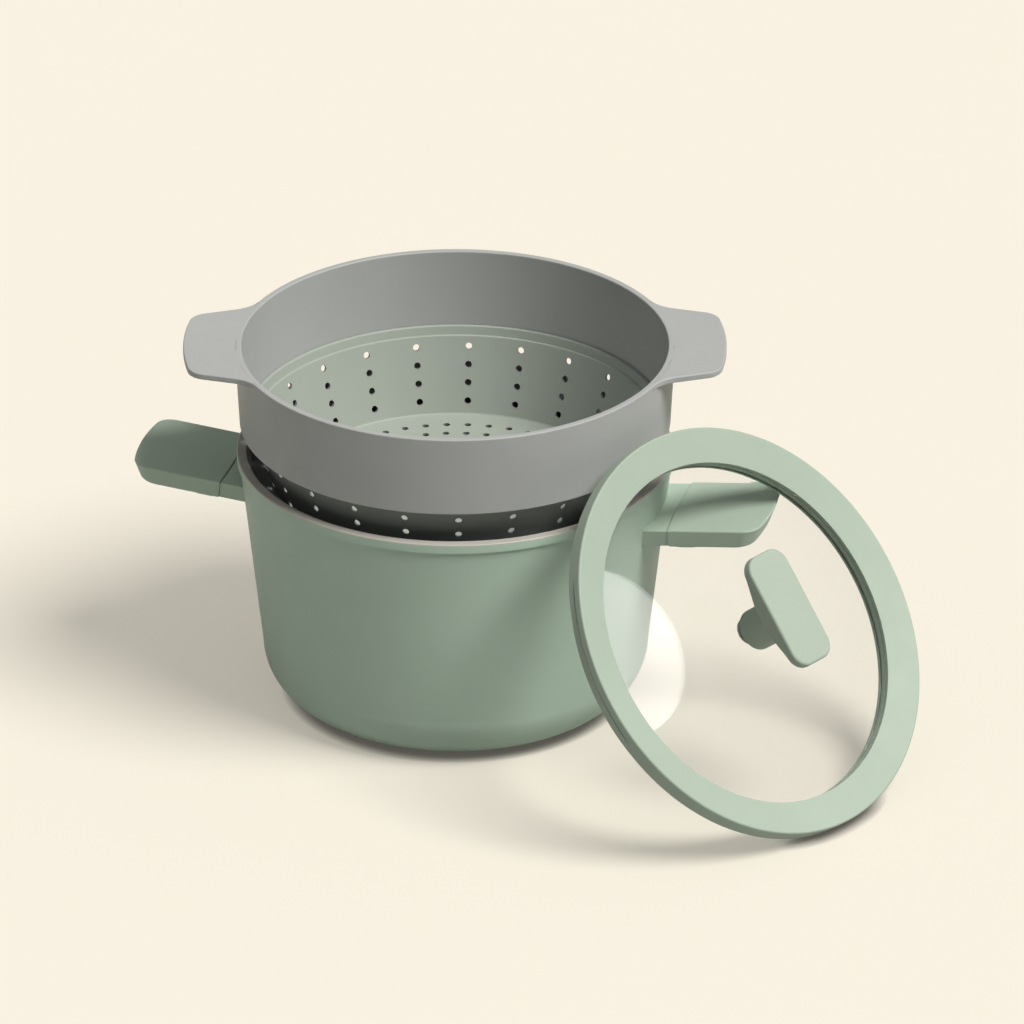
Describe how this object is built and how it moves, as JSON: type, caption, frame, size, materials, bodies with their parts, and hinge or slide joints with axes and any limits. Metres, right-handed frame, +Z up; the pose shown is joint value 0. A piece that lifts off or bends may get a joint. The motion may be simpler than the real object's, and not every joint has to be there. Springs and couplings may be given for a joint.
{
  "type": "saucepan with steamer insert",
  "caption": "Tapered two-handled pot with a raised perforated steamer insert and a ring-edged glass lid leaning on one handle.",
  "frame": {"origin": "centre of the base plate's underside, on the table", "axes": "+Z up along the pot axis, +X to the right of the picture along the insert's tabs, -Y towards the camera"},
  "size_m": [0.449, 0.36, 0.2176],
  "materials": {
    "pot_paint": "cast aluminium, matte sage green coat outside, beige ceramic coat inside",
    "steel": "satin",
    "aluminium": "satin",
    "handle_plastic": "soft-touch sage green",
    "collar_grey": "aluminium with a matte grey coat",
    "basket_paint": "aluminium, matte sage coat inside, grey outside",
    "ring_silicone": "matte light sage silicone",
    "glass": "clear polished",
    "knob_plastic": "matte light sage"
  },
  "bodies": {
    "pot": {"pot_body": "pot_paint", "base_plate": "steel", "handle_neck_right": "handle_plastic", "handle_neck_left": "handle_plastic", "handle_grip_right": "handle_plastic", "handle_grip_left": "handle_plastic", "handle_stud_right": "aluminium", "handle_stud_left": "aluminium", "stud_screw_right": "steel", "stud_screw_left": "steel", "grip_screw_right": "steel", "grip_screw_left": "steel"},
    "steamer": {"steamer_collar": "collar_grey", "steamer_basket": "basket_paint"},
    "lid": {"lid_ring": "ring_silicone", "lid_glass": "glass", "lid_knob": "knob_plastic", "knob_seat": "ring_silicone", "knob_washer": "ring_silicone", "knob_screw": "steel"}
  },
  "joints": [
    {"name": "steamer_lift", "type": "slide", "parent": "pot", "child": "steamer", "axis": [0, 0, 1], "range_m": [0, 0.12]},
    {"name": "lid_lift", "type": "slide", "parent": "pot", "child": "lid", "axis": [0.5868, -0.521, 0.6198], "range_m": [0, 0.12]}
  ]
}
